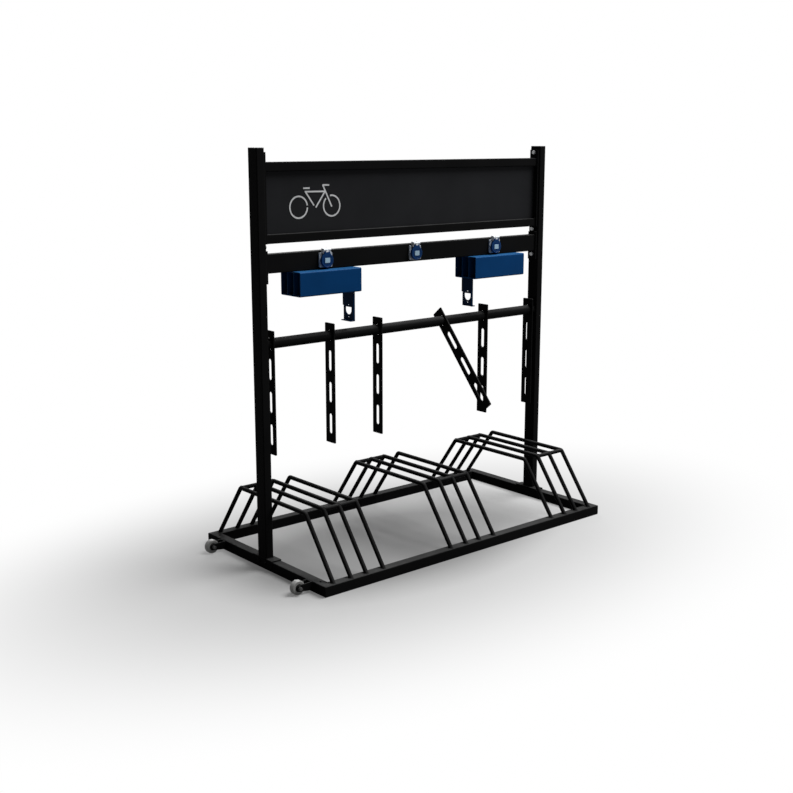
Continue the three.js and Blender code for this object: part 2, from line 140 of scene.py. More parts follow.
floor_material, tree = new_material("pale_floor")
tree.nodes.clear()
where = add_node(tree, "ShaderNodeTexCoord")
shift = add_node(tree, "ShaderNodeVectorMath", {1: (*painted_shadow_centre, 0)}, operation="SUBTRACT")
spread = add_node(tree, "ShaderNodeVectorMath", {1: (*painted_shadow_reach, 1)}, operation="DIVIDE")
away = add_node(tree, "ShaderNodeVectorMath", operation="LENGTH")
# Painted shadow: the floor's colour runs from dark inside the ellipse to pale outside it.
tone = add_node(tree, "ShaderNodeMapRange", {
    "From Min": painted_shadow_start, "From Max": painted_shadow_end, "To Min": painted_shadow_dark, "To Max": painted_shadow_pale,
})
seen = seen_directly(tree)
dim = add_node(tree, "ShaderNodeMapRange", {"To Min": floor_bounce, "To Max": 1.0})
dimmed = add_node(tree, "ShaderNodeMath", operation="MULTIPLY")
matt = add_node(tree, "ShaderNodeBsdfDiffuse")
glow = add_node(tree, "ShaderNodeEmission", {"Color": (1, 1, 1, 1)})
fade = add_node(tree, "ShaderNodeMapRange", {
    "From Min": fade_start, "From Max": fade_end,
}, interpolation_type="SMOOTHSTEP")
both = add_node(tree, "ShaderNodeMath", operation="MULTIPLY")
blend = add_node(tree, "ShaderNodeMixShader")
result = add_node(tree, "ShaderNodeOutputMaterial")
wire(where, "Object", shift, 0)
wire(shift, "Vector", spread, 0)
wire(spread, "Vector", away, 0)
wire(away, "Value", tone, "Value")
wire(seen, 0, dim, "Value")
wire(tone, "Result", dimmed, 0)
wire(dim, "Result", dimmed, 1)
wire(dimmed, 0, matt, "Color")
wire(away, "Value", fade, "Value")
wire(fade, "Result", both, 0)
wire(seen, 0, both, 1)
wire(both, 0, blend, "Fac")
wire(matt, 0, blend, 1)
wire(glow, 0, blend, 2)
wire(blend, 0, result, "Surface")

floor_mesh = bpy.data.meshes.new("floor")
corners = [(-1, -1), (1, -1), (1, 1), (-1, 1)]
floor_mesh.from_pydata([(x * floor_half, y * floor_half, 0) for x, y in corners], [], [range(4)])
floor_mesh.materials.append(floor_material)
floor = scene_object("floor", floor_mesh)


# Base: four square steel tubes lie flat on the floor, mitred and welded at the corners and
# powder coated in satin black. The short tubes have a drain hole on top near each end.
middle_x = 0.0324
base_length = 1.324
base_depth = 0.700
tube_side = 0.036
tube_wall = 0.002
tube_corner = 0.003
joint_gap = 0.0001
seam = 0.0002
drain_radius = 0.0040
drain_depth = 0.0040
drain_inset = 0.014
coat_black = (0.0075, 0.0075, 0.0077)
# Dust and painted top light: the lighter grey that the coat mixes in where the black faces up.
coat_dust_and_top_light = (0.0700, 0.0700, 0.0700)
coat_tones = (0.88, 1.10)
coat_clouds = 7.0
coat_smoother, coat_rougher = 0.06, 0.08
top_mark_from = 0.35
peel_strength = 0.5
merge_distance = 1e-7
crease_angle = math.radians(38)
both_ends = (("left", -1), ("right", 1))


def two_tones(tree, colour, shares):
    """A ramp from a darker to a lighter tone of one colour."""
    ramp = add_node(tree, "ShaderNodeValToRGB")
    for element, share in zip(ramp.color_ramp.elements, shares):
        element.color = (*[c * share for c in colour], 1)
    return ramp


def coat(name, colour, dust_and_top_light, roughness, shine, grain_size=0.0012, grain_depth=0.00005):
    """Powder coat: a broken tone, a lighter colour on upward faces that is part dust and part
    painted top light, and a fine orange-peel surface.
    """
    material, tree = new_material(name)
    paint = tree.nodes["Principled BSDF"]
    paint.inputs["Specular IOR Level"].default_value = shine
    where = add_node(tree, "ShaderNodeTexCoord")

    cloud = add_node(tree, "ShaderNodeTexNoise", {"Scale": coat_clouds, "Detail": 5.0})
    wire(where, "Object", cloud, "Vector")
    tone = two_tones(tree, colour, coat_tones)
    tone.color_ramp.elements[0].position = 0.3
    tone.color_ramp.elements[1].position = 0.7
    wire(cloud, "Fac", tone, "Fac")

    # Part dust, part painted top light: faces that turn up are mixed towards the lighter colour.
    facing = add_node(tree, "ShaderNodeSeparateXYZ")
    upward = add_node(tree, "ShaderNodeMapRange", {"From Min": top_mark_from, "From Max": 1.0})
    top_amount = add_node(tree, "ShaderNodeMath", operation="MULTIPLY")
    top_dust_and_light = add_node(tree, "ShaderNodeMix", {"B": (*dust_and_top_light, 1)}, data_type="RGBA")
    wire(where, "Normal", facing, 0)
    wire(facing, "Z", upward, "Value")
    wire(upward, "Result", top_amount, 0)
    wire(cloud, "Fac", top_amount, 1)
    wire(top_amount, 0, top_dust_and_light, "Factor")
    wire(tone, "Color", top_dust_and_light, "A")
    wire(top_dust_and_light, "Result", paint, "Base Color")

    grain = add_node(tree, "ShaderNodeTexNoise", {"Scale": 1 / grain_size, "Detail": 2.0})
    wire(where, "Object", grain, "Vector")
    rough = add_node(tree, "ShaderNodeMapRange", {
        "To Min": roughness - coat_smoother, "To Max": roughness + coat_rougher,
    })
    wire(cloud, "Fac", rough, "Value")
    wire(rough, "Result", paint, "Roughness")
    peel = add_node(tree, "ShaderNodeBump", {"Strength": peel_strength, "Distance": grain_depth})
    wire(grain, "Fac", peel, "Height")
    wire(peel, "Normal", paint, "Normal")
    return material


frame_coat = coat("satin_black_powder_coat", coat_black, coat_dust_and_top_light, 0.42, 0.004)


def outward(bm):
    bmesh.ops.recalc_face_normals(bm, faces=bm.faces)


def merge(bm):
    bmesh.ops.remove_doubles(bm, verts=bm.verts, dist=merge_distance)
    outward(bm)


def finish_mesh(mesh, material, crease=crease_angle):
    mesh.shade_smooth()
    mesh.set_sharp_from_angle(angle=crease)
    mesh.materials.clear()
    mesh.materials.append(material)


def shade_evenly(piece):
    piece.modifiers.new("even_shading", "WEIGHTED_NORMAL").keep_sharp = True


def finish(bm, name, node, material=frame_coat, body="frame", slot="frame_black",
           crease=crease_angle):
    """Turns a bmesh into a named piece that rides on a body and replaces a solid."""
    merge(bm)
    mesh = bpy.data.meshes.new(name)
    bm.to_mesh(mesh)
    bm.free()
    finish_mesh(mesh, material, crease)
    piece = scene_object(name, mesh)
    shade_evenly(piece)
    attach(piece, body)
    if node:
        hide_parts(node)
    return piece


def rounded_outline(width, height, radius, steps=4, centre=(0, 0)):
    points = []
    for quarter, (right, up) in enumerate(((1, 1), (-1, 1), (-1, -1), (1, -1))):
        for step in range(steps + 1):
            angle = (quarter + step / steps) * math.pi / 2
            points.append((
                centre[0] + right * (width / 2 - radius) + radius * math.cos(angle),
                centre[1] + up * (height / 2 - radius) + radius * math.sin(angle),
            ))
    return points


def arc(centre, radius, angles):
    return [(centre[0] + radius * math.cos(a), centre[1] + radius * math.sin(a)) for a in angles]


def circle(radius, centre=(0, 0), steps=48):
    return arc(centre, radius, [2 * math.pi * i / steps for i in range(steps)])


def bridge(bm, first, second):
    count = len(first)
    for i in range(count):
        j = (i + 1) % count
        bm.faces.new((first[i], first[j], second[j], second[i]))


def tube(start, end, across, width, height, wall=tube_wall, corner=tube_corner, slants=(0, 0)):
    """A rectangular tube between two end centres; a slant cuts an end at an angle."""
    bm = bmesh.new()
    start, end, across = Vector(start), Vector(end), Vector(across)
    along = (end - start).normalized()
    upward = along.cross(across)
    rings = []
    for inset in (0, wall):
        outline = rounded_outline(width - 2 * inset, height - 2 * inset, corner - inset)
        for centre, slant in ((start, slants[0]), (end, slants[1])):
            rings.append([
                bm.verts.new(centre + across * u + upward * v + along * slant * u)
                for u, v in outline
            ])
    outer_start, outer_end, inner_start, inner_end = rings
    bridge(bm, outer_start, outer_end)
    bridge(bm, inner_end, inner_start)
    bridge(bm, inner_start, outer_start)
    bridge(bm, outer_end, inner_end)
    return bm


def evaluated_mesh(piece):
    """The plain mesh of an object with its modifiers, which are then removed."""
    graph = bpy.context.evaluated_depsgraph_get()
    graph.update()
    mesh = bpy.data.meshes.new_from_object(piece.evaluated_get(graph), depsgraph=graph)
    piece.modifiers.clear()
    return mesh


def pointing(centre, axis):
    """Moves a form to a centre and turns its Z along an axis."""
    return Matrix.Translation(centre) @ Vector(axis).to_track_quat("Z", "Y").to_matrix().to_4x4()


def cylinder(bm, centre, axis, radius, depth, sides):
    bmesh.ops.create_cone(bm, cap_ends=True, segments=sides, radius1=radius, radius2=radius,
                          depth=depth, matrix=pointing(centre, axis))


def loose_object(bm, name):
    mesh = bpy.data.meshes.new(name)
    bm.to_mesh(mesh)
    bm.free()
    return scene_object(name, mesh)


def combine(body, tool, operation):
    """Joins two closed meshes, or cuts one from the other, and returns the new mesh."""
    step = body.modifiers.new("combine", "BOOLEAN")
    step.operation = operation
    step.solver = "EXACT"
    step.object = tool
    mesh = evaluated_mesh(body)
    bpy.data.objects.remove(tool)
    return mesh


def solid(mesh):
    """A plain mesh as a closed bmesh with its faces outwards."""
    bm = bmesh.new()
    bm.from_mesh(mesh)
    merge(bm)
    return bm


def joined(first, *others):
    """Joins closed solids that meet or overlap into one closed mesh."""
    body = loose_object(first, "joined")
    for other in others:
        body.data = combine(body, loose_object(other, "part"), "UNION")
    mesh = body.data
    bpy.data.objects.remove(body)
    return mesh


def base_tube(start, end, across, name, node):
    ends = [(x, y, tube_side / 2) for x, y in (start, end)]
    return finish(tube(*ends, across, tube_side, tube_side, slants=(1, -1)), name, node)


edge_y = base_depth / 2 - tube_side / 2
edge_x = base_length / 2 - tube_side / 2
for name, side in (("front", -1), ("rear", 1)):
    y, run = side * edge_y, edge_x - joint_gap
    base_tube((middle_x - run, y), (middle_x + run, y), (0, -side, 0),
              f"base_tube_{name}", f"base_rail_{name}")

for name, side in both_ends:
    x, run = middle_x + side * edge_x, edge_y - joint_gap
    piece = base_tube((x, -run), (x, run), (-side, 0, 0),
                      f"base_tube_{name}", f"base_crossbar_{name}")
    holes = bmesh.new()
    for end in (-1, 1):
        y = end * (base_depth / 2 - tube_side - drain_inset)
        cylinder(holes, (x, y, tube_side), (0, 0, 1), drain_radius, drain_depth * 2, 24)
    piece.modifiers.clear()
    piece.data = combine(piece, loose_object(holes, "drain_holes"), "DIFFERENCE")
    finish_mesh(piece.data, frame_coat)
    shade_evenly(piece)


# Wheel bars: three groups of four round steel bars, each bent to a flat-topped arch and welded
# to the long base tubes. Two short rods tie the bars of a group at their corners.
bar_radius = 0.0075
bar_top = 0.2405
foot_inset = 0.015
corner_y = 0.191
bend_radius = 0.0115
bend_steps = 10
bar_sides = 28
group_pitch = 0.515
bar_outer, bar_inner = 0.1045, 0.032
group_bars = (("a", -bar_outer), ("b", -bar_inner), ("c", bar_inner), ("d", bar_outer))
bar_nodes = {"a": "bar_a", "b": "bar_b_with_rod", "c": "bar_c_with_rod", "d": "bar_d"}
bead_radius = 0.0016
bead_pitch = 0.0022
bead_sides = 8
bead_thin, bead_thick = 0.82, 1.08

bar_foot = base_depth / 2 - foot_inset
bar_middle = bar_top - bar_radius
leg_angle = math.atan2(bar_middle - tube_side, bar_foot - corner_y)
bend_y = corner_y - bend_radius * math.tan(leg_angle / 2)


def node_input(tree, name, kind):
    tree.interface.new_socket(name=name, in_out="INPUT", socket_type=kind)


def new_node_tree(name, sizes):
    """A geometry tree with the given size inputs and a material input."""
    tree = bpy.data.node_groups.new(name, "GeometryNodeTree")
    node_input(tree, "Geometry", "NodeSocketGeometry")
    for size in sizes:
        node_input(tree, size, "NodeSocketFloat")
    node_input(tree, "Material", "NodeSocketMaterial")
    tree.interface.new_socket(name="Geometry", in_out="OUTPUT", socket_type="NodeSocketGeometry")
    return tree, add_node(tree, "NodeGroupInput")


def end_node_tree(tree, entry, last, output):
    """Closes a tree with Realize Instances and Set Material."""
    real = add_node(tree, "GeometryNodeRealizeInstances")
    paint = add_node(tree, "GeometryNodeSetMaterial")
    leave = add_node(tree, "NodeGroupOutput")
    wire(last, output, real, "Geometry")
    wire(real, "Geometry", paint, "Geometry")
    wire(entry, "Material", paint, "Material")
    wire(paint, "Geometry", leave, "Geometry")


def grow(source, tree, values):
    """Runs a geometry tree on an object and returns the plain mesh."""
    step = source.modifiers.new("grow", "NODES")
    step.node_group = tree
    for item in tree.interface.items_tree:
        if item.in_out == "INPUT" and item.name in values:
            step[item.identifier] = values[item.name]
    mesh = evaluated_mesh(source)
    bpy.data.objects.remove(source)
    return mesh


def path_object(paths, name, closed=False):
    """Polylines as one object of loose edges."""
    points, edges = [], []
    for path in paths:
        first = len(points)
        points.extend(path)
        edges.extend((i, i + 1) for i in range(first, len(points) - 1))
        if closed:
            edges.append((len(points) - 1, first))
    mesh = bpy.data.meshes.new(name)
    mesh.from_pydata(points, edges, [])
    return scene_object(name, mesh)


bar_tree, entry = new_node_tree("bent_bar", ["Bar Radius", "Bend Radius"])
line = add_node(bar_tree, "GeometryNodeMeshToCurve")
fillet = add_node(bar_tree, "GeometryNodeFilletCurve", {"Count": bend_steps}, mode="POLY")
round_bar = add_node(bar_tree, "GeometryNodeCurvePrimitiveCircle", {"Resolution": bar_sides})
sweep = add_node(bar_tree, "GeometryNodeCurveToMesh", {"Fill Caps": True})
wire(entry, "Geometry", line, "Mesh")
wire(line, "Curve", fillet, "Curve")
wire(entry, "Bend Radius", fillet, "Radius")
wire(entry, "Bar Radius", round_bar, "Radius")
wire(fillet, "Curve", sweep, "Curve")
wire(round_bar, "Curve", sweep, "Profile Curve")
end_node_tree(bar_tree, entry, sweep, "Mesh")

bead_tree, entry = new_node_tree("weld_bead", ["Bead Radius", "Ripple Length"])
line = add_node(bead_tree, "GeometryNodeMeshToCurve")
even = add_node(bead_tree, "GeometryNodeResampleCurve", mode="LENGTH")
index = add_node(bead_tree, "GeometryNodeInputIndex")
ripple = add_node(bead_tree, "ShaderNodeMath", {1: 2}, operation="MODULO")
swell = add_node(bead_tree, "ShaderNodeMapRange", {"To Min": bead_thin, "To Max": bead_thick})
thick = add_node(bead_tree, "GeometryNodeSetCurveRadius")
round_bead = add_node(bead_tree, "GeometryNodeCurvePrimitiveCircle", {"Resolution": bead_sides})
sweep = add_node(bead_tree, "GeometryNodeCurveToMesh")
wire(entry, "Geometry", line, "Mesh")
wire(line, "Curve", even, "Curve")
wire(entry, "Ripple Length", even, "Length")
wire(index, "Index", ripple, 0)
wire(ripple, 0, swell, "Value")
wire(even, "Curve", thick, "Curve")
wire(swell, "Result", thick, "Radius")
wire(entry, "Bead Radius", round_bead, "Radius")
wire(thick, "Curve", sweep, "Curve")
wire(round_bead, "Curve", sweep, "Profile Curve")
wire(swell, "Result", sweep, "Scale")
end_node_tree(bead_tree, entry, sweep, "Mesh")


def piece_of(mesh, name, node, *details, **more):
    bm = bmesh.new()
    bm.from_mesh(mesh)
    return finish(bm, name, node, *details, **more)


def weld(paths, name):
    mesh = grow(path_object(paths, f"{name}_paths", closed=True), bead_tree, {
        "Bead Radius": bead_radius, "Ripple Length": bead_pitch / 2, "Material": frame_coat,
    })
    piece_of(mesh, name, None, crease=math.pi)


def arch_path(x):
    past = bar_radius * 2
    foot_y = bar_foot + past * math.cos(leg_angle)
    foot_z = tube_side - past * math.sin(leg_angle)
    return [(x, -foot_y, foot_z), (x, -corner_y, bar_middle),
            (x, corner_y, bar_middle), (x, foot_y, foot_z)]


def bent_bar(x, name, node):
    mesh = grow(path_object([arch_path(x)], f"{name}_path"), bar_tree, {
        "Bar Radius": bar_radius, "Bend Radius": bend_radius, "Material": frame_coat,
    })
    lean = math.cos(leg_angle) / math.sin(leg_angle)
    for vertex in mesh.vertices:
        drop = tube_side - vertex.co.z
        if drop > 0:
            vertex.co.y -= math.copysign(drop * lean, vertex.co.y)
            vertex.co.z = tube_side
    piece_of(mesh, name, node)


def saddle(x, y, z, side, end, steps=36):
    """The line where a round rod meets a round bar of its own size."""
    tilt = leg_angle / 2
    return [(
        x + end * bar_radius * abs(along),
        y + bar_radius * side * (out * math.sin(tilt) + along * math.cos(tilt)),
        z + bar_radius * (out * math.cos(tilt) - along * math.sin(tilt)),
    ) for out, along in circle(1, steps=steps)]


for group in range(3):
    number = group + 1
    start_x = middle_x + (group - 1) * group_pitch
    foot_beads, rod_beads = [], []
    for letter, offset in group_bars:
        x = start_x + offset
        bent_bar(x, f"wheel_bar_{number}{letter}", f"ramp_{number}_{bar_nodes[letter]}")
        for side in (-1, 1):
            long_half = bar_radius / math.sin(leg_angle)
            foot_beads.append([(x + u * bar_radius, side * bar_foot + v * long_half, tube_side)
                               for u, v in circle(1, steps=40)])
    for end_name, side, host, places in (
            ("rear", 1, "b", (-bar_outer, -bar_inner, bar_inner)),
            ("front", -1, "c", (-bar_inner, bar_inner, bar_outer))):
        y = side * (bend_y + bend_radius * math.sin(leg_angle / 2))
        z = bar_middle - bend_radius * (1 - math.cos(leg_angle / 2))
        first, last = start_x + places[0], start_x + places[2]
        bm = bmesh.new()
        cylinder(bm, ((first + last) / 2, y, z), (1, 0, 0), bar_radius, last - first, bar_sides)
        finish(bm, f"tie_rod_{number}_{end_name}", f"ramp_{number}_{bar_nodes[host]}")
        for place, ends in zip(places, ((1,), (-1, 1), (-1,))):
            rod_beads.extend(saddle(start_x + place, y, z, side, end) for end in ends)
    weld(foot_beads, f"bar_foot_welds_{number}")
    weld(rod_beads, f"tie_rod_welds_{number}")


# Posts: two rectangular steel tubes stand on angle feet across the short base tubes and carry
# everything above. A plastic cap closes each top; two bolts hold each foot's outer flange.
post_width = 0.030
post_depth = 0.050
post_wall = 0.002
post_corner = 0.0035
post_top = 1.398
cap_thickness = 0.003
cap_edge = 0.0012
cap_plug = 0.012
plug_play = 0.0004
plug_corner = 0.002
plug_edge = 0.0008
foot_top = 0.0402
foot_wall = 0.004
foot_length = 0.114
foot_drop = 0.022
flange_wall = 0.003
flange_face = base_length / 2 + seam
post_x = base_length / 2 + flange_wall - post_width / 2
foot_bend = 0.003
foot_edge = 0.0005
foot_bolt_pitch = 0.036
bolt_flats = 0.013
bolt_head = 0.005
washer_over = 0.0013
washer_thick = 0.0012
washer_bevel = 0.0003
bolt_crease = math.radians(25)
bolt_steps = 36
washer_side, head_root, head_chamfer, head_face = 0.8, 0.9, 0.7, 0.97
least_corner = 0.0003
plastic_black = (0.014, 0.014, 0.015)
# Painted top light: moulded plastics are this much lighter where they face up.
plastic_lit_top = 1.08
zinc_tone = (0.26, 0.265, 0.27)
zinc_tones = (0.75, 1.2)
zinc_crystals = 420.0
zinc_metallic = 0.85
zinc_smooth, zinc_rough = 0.32, 0.50


def moulded(name, colour, roughness, shine=0.4, grain_size=0.0008, grain_depth=0.00003):
    """Moulded plastic with a fine even grain, a slightly uneven tone and a painted lighter top
    where it faces up.
    """
    lighter = tuple(c * plastic_lit_top for c in colour)
    return coat(name, colour, lighter, roughness, shine, grain_size, grain_depth)


def zinc_plate(name, colour):
    """Plated steel with faint crystal patches."""
    material, tree = new_material(name)
    steel = tree.nodes["Principled BSDF"]
    steel.inputs["Metallic"].default_value = zinc_metallic
    where = add_node(tree, "ShaderNodeTexCoord")
    patches = add_node(tree, "ShaderNodeTexVoronoi", {"Scale": zinc_crystals})
    wire(where, "Object", patches, "Vector")
    tone = two_tones(tree, colour, zinc_tones)
    wire(patches, "Color", tone, "Fac")
    wire(tone, "Color", steel, "Base Color")
    rough = add_node(tree, "ShaderNodeMapRange", {"To Min": zinc_smooth, "To Max": zinc_rough})
    wire(patches, "Distance", rough, "Value")
    wire(rough, "Result", steel, "Roughness")
    return material


cap_plastic = moulded("black_cap_plastic", plastic_black, 0.5, 0.3)
zinc = zinc_plate("zinc_plated_steel", zinc_tone)


def stack(bm, levels):
    """Joins outlines at rising heights into one closed solid."""
    rings = [[bm.verts.new(point) for point in level] for level in levels]
    for low, high in zip(rings, rings[1:]):
        bridge(bm, low, high)
    bm.faces.new(rings[0])
    bm.faces.new(rings[-1])


def quarter_turn(steps):
    return [(step / steps) * math.pi / 2 for step in range(steps + 1)]


def rounded_block(size, place, corner, edge, steps=3):
    """A block with rounded upright corners and softened top and bottom edges."""
    bm = bmesh.new()
    width, depth, height = size
    levels = []
    arcs = quarter_turn(steps)
    for angle in arcs:
        levels.append((edge * (1 - math.sin(angle)), edge * (1 - math.cos(angle))))
    for angle in reversed(arcs):
        levels.append((edge * (1 - math.sin(angle)), height - edge * (1 - math.cos(angle))))
    stack(bm, [
        [(place[0] + u, place[1] + v, place[2] + rise) for u, v in
         rounded_outline(width - 2 * inset, depth - 2 * inset, max(corner - inset, least_corner))]
        for inset, rise in levels
    ])
    outward(bm)
    return bm


def cut_plate(outline, holes, thickness, edge, turn, name):
    """A plate cut to an outline with holes, its edges softened; returns a plain mesh."""
    drawing = bpy.data.curves.new(name, "CURVE")
    drawing.dimensions = "2D"
    drawing.fill_mode = "BOTH"
    drawing.extrude = thickness / 2 - edge
    drawing.bevel_depth = edge
    drawing.bevel_resolution = 1
    drawing.offset = -edge
    for loop in (outline, *holes):
        spline = drawing.splines.new("POLY")
        spline.points.add(len(loop) - 1)
        for point, (u, v) in zip(spline.points, loop):
            point.co = (u, v, 0, 1)
        spline.use_cyclic_u = True
    source = scene_object(name, drawing)
    mesh = evaluated_mesh(source)
    bpy.data.objects.remove(source)
    mesh.transform(turn)
    return mesh


def facing_x(x, y=0, z=0):
    """Puts a drawing's right along Y, its up along Z and its thickness along X."""
    return Matrix(((0, 0, 1, x), (1, 0, 0, y), (0, 1, 0, z), (0, 0, 0, 1)))


def facing_y(y, x=0, z=0):
    """Puts a drawing's right along X, its up along Z and its thickness along Y."""
    return Matrix(((1, 0, 0, x), (0, 0, -1, y), (0, 1, 0, z), (0, 0, 0, 1)))


def hexagon_bolt(flats, head):
    """A hexagon head with a chamfered face on a round washer, along Z from zero."""
    sixth = math.pi / 3
    corner = flats / 2 / math.cos(sixth / 2)
    washer = corner + washer_over / 2
    plate = bmesh.new()
    levels = ((washer, 0.0), (washer, washer_thick * washer_side),
              (washer - washer_bevel, washer_thick))
    stack(plate, [[(u, v, z) for u, v in circle(radius, steps=bolt_steps)]
                  for radius, z in levels])
    levels = []
    for z, limit in ((washer_thick * head_root, flats),
                     (head - (corner - flats / 2) * head_chamfer, flats),
                     (head, flats / 2 * head_face)):
        ring = []
        for step in range(bolt_steps):
            angle = 2 * math.pi * step / bolt_steps
            around = (angle + sixth / 2) % sixth - sixth / 2
            radius = min(flats / 2 / math.cos(around), limit)
            ring.append((radius * math.cos(angle), radius * math.sin(angle), z))
        levels.append(ring)
    hexagon = bmesh.new()
    stack(hexagon, levels)
    outward(plate)
    outward(hexagon)
    return loose_object(solid(joined(plate, hexagon)), "bolt_pattern")


bolt_tree, entry = new_node_tree("bolts", [])
node_input(bolt_tree, "Bolt", "NodeSocketObject")
node_input(bolt_tree, "Turn", "NodeSocketRotation")
pattern = add_node(bolt_tree, "GeometryNodeObjectInfo")
copies = add_node(bolt_tree, "GeometryNodeInstanceOnPoints")
wire(entry, "Bolt", pattern, "Object")
wire(entry, "Geometry", copies, "Points")
wire(pattern, "Geometry", copies, "Instance")
wire(entry, "Turn", copies, "Rotation")
end_node_tree(bolt_tree, entry, copies, "Instances")


def bolts(places, axis, name, material=zinc, flats=bolt_flats, head=bolt_head):
    """Bolt heads at the given points, facing along an axis."""
    pattern = hexagon_bolt(flats, head)
    mesh = grow(path_object([[place] for place in places], f"{name}_points"), bolt_tree, {
        "Bolt": pattern, "Turn": Vector(axis).to_track_quat("Z", "Y").to_euler(),
        "Material": material,
    })
    bpy.data.objects.remove(pattern)
    piece_of(mesh, name, None, material, slot="axle_steel", crease=bolt_crease)


for name, side in both_ends:
    x = middle_x + side * post_x
    post = tube((x, 0, foot_top), (x, 0, post_top - cap_thickness), (1, 0, 0),
                post_width, post_depth, post_wall, post_corner)
    finish(post, f"post_tube_{name}", f"post_{name}")

    bore = 2 * post_wall + plug_play
    cap_low = post_top - cap_thickness
    lid = rounded_block((post_width, post_depth, cap_thickness), (x, 0, cap_low),
                        post_corner, cap_edge)
    stem = rounded_block((post_width - bore, post_depth - bore, cap_plug + seam),
                         (x, 0, cap_low - cap_plug), plug_corner, plug_edge)
    piece_of(joined(lid, stem), f"post_plug_{name}", f"post_cap_{name}", cap_plastic)

    inner = base_length / 2 - tube_side
    under = foot_top - foot_wall
    low = under - foot_drop
    outer = flange_face + flange_wall
    profile = [(inner, under), (flange_face, under), (flange_face, low), (outer, low)]
    profile += arc((outer - foot_bend, foot_top - foot_bend), foot_bend, quarter_turn(5))
    profile.append((inner, foot_top))
    profile = [(middle_x + side * u, v) for u, v in profile]
    mesh = cut_plate(profile, [], foot_length, foot_edge, facing_y(0), "foot_profile")
    piece_of(mesh, f"post_angle_{name}", f"post_foot_{name}")

    bolt_z = (under + low) / 2
    places = [(middle_x + side * outer, y, bolt_z)
              for y in (-foot_bolt_pitch / 2, foot_bolt_pitch / 2)]
    bolts(places, (side, 0, 0), f"foot_bolts_{name}", frame_coat)
    around = [(x + u, v, foot_top) for u, v in rounded_outline(post_width, post_depth, post_corner)]
    weld([around], f"post_welds_{name}")


# Sign: a sheet panel set between two square tubes that run from post to post. Their ends are
# welded to upright plates, which are bolted to the inner faces of the posts.
plate_wall = 0.008
plate_width = 0.040
ear_width = 0.018
ear_drop = 0.021
sign_low = 1.094
sign_high = 1.353
sign_tube = 0.030
sign_plate_rise = 0.031
plate_edge = 0.0006
bolt_inset = 0.010
panel_thickness = 0.004
panel_edge = 0.0004
slate_tone = (0.0158, 0.0163, 0.0179)
# Dust and painted top light: the lighter grey on the panel's upward faces.
slate_dust_and_top_light = (0.0240, 0.0240, 0.0250)

post_inner = post_x - post_width / 2
plate_inner = post_inner - seam - plate_wall
rail_half = plate_inner - joint_gap
sign_plate_top = sign_high + sign_plate_rise
panel_coat = coat("slate_grey_powder_coat", slate_tone, slate_dust_and_top_light, 0.5, 0.03, 0.0009, 0.00003)


def cross_tube(z, depth, height):
    """A tube along the rack between the posts' end plates."""
    return tube((middle_x - rail_half, 0, z), (middle_x + rail_half, 0, z), (0, 1, 0),
                depth, height)


def rectangle(half_width, low, high):
    return [(-half_width, low), (half_width, low), (half_width, high), (-half_width, high)]


for name, z in (("top", sign_high - sign_tube / 2), ("bottom", sign_low + sign_tube / 2)):
    finish(cross_tube(z, sign_tube, sign_tube), f"sign_tube_{name}", f"sign_rail_{name}")

outline = rectangle(rail_half, sign_low + sign_tube, sign_high - sign_tube)
mesh = cut_plate(outline, [], panel_thickness, panel_edge, facing_y(0, middle_x), "panel_outline")
piece_of(mesh, "sign_sheet", "sign_panel", panel_coat, slot="sign_slate")


def end_plates(outline, heights, name, node):
    """A pair of bolted plates on the posts' inner faces."""
    for end, side in both_ends:
        centre = middle_x + side * (plate_inner + plate_wall / 2)
        mesh = cut_plate(outline, [], plate_wall, plate_edge, facing_x(centre), name)
        piece_of(mesh, f"{name}_{end}", f"{node}_{end}")
        bolts([(middle_x + side * plate_inner, 0, z) for z in heights], (-side, 0, 0),
              f"{name}_bolts_{end}")


half, ear = plate_width / 2, ear_width / 2
low = sign_low - ear_drop
outline = [(-ear, low), (ear, low), (ear, sign_low), (half, sign_low), (half, sign_plate_top),
           (-half, sign_plate_top), (-half, sign_low), (-ear, sign_low)]
end_plates(outline, [sign_plate_top - bolt_inset, low + bolt_inset], "sign_end", "sign_plate")


# Pictogram: a bicycle in light grey vinyl on the front of the panel, near its left end.
# Each stroke is a thin strip; the wheels are rings with a gap.
stroke_width = 0.0052
vinyl_thick = 0.0004
vinyl_edge = 0.0001
vinyl_tone = (0.62, 0.63, 0.64)
wheel_rings = (
    ((-0.4893, 1.2060), 0.0352, 8, 357),
    ((-0.3536, 1.2068), 0.0342, 134, 461),
)
strokes = (
    ((-0.4697, 1.2667), (-0.4437, 1.2667)),
    ((-0.4638, 1.2555), (-0.3817, 1.2545)),
    ((-0.4604, 1.2541), (-0.4270, 1.2102)),
    ((-0.3817, 1.2535), (-0.4199, 1.2027)),
    ((-0.3902, 1.2764), (-0.3534, 1.2036)),
    ((-0.3902, 1.2757), (-0.3633, 1.2748)),
)
vinyl = moulded("light_grey_vinyl", vinyl_tone, 0.45, 0.4, 0.0006, 0.00001)


def strip_outline(first, last, width):
    first, last = Vector(first), Vector(last)
    beside = (last - first).normalized().orthogonal() * width / 2
    corners = (first - beside, last - beside, last + beside, first + beside)
    return [tuple(corner) for corner in corners]


def ring_outline(centre, radius, from_degrees, to_degrees, width, steps=64):
    angles = [math.radians(from_degrees + (to_degrees - from_degrees) * step / steps)
              for step in range(steps + 1)]
    return arc(centre, radius + width / 2, angles) + arc(centre, radius - width / 2, angles[::-1])


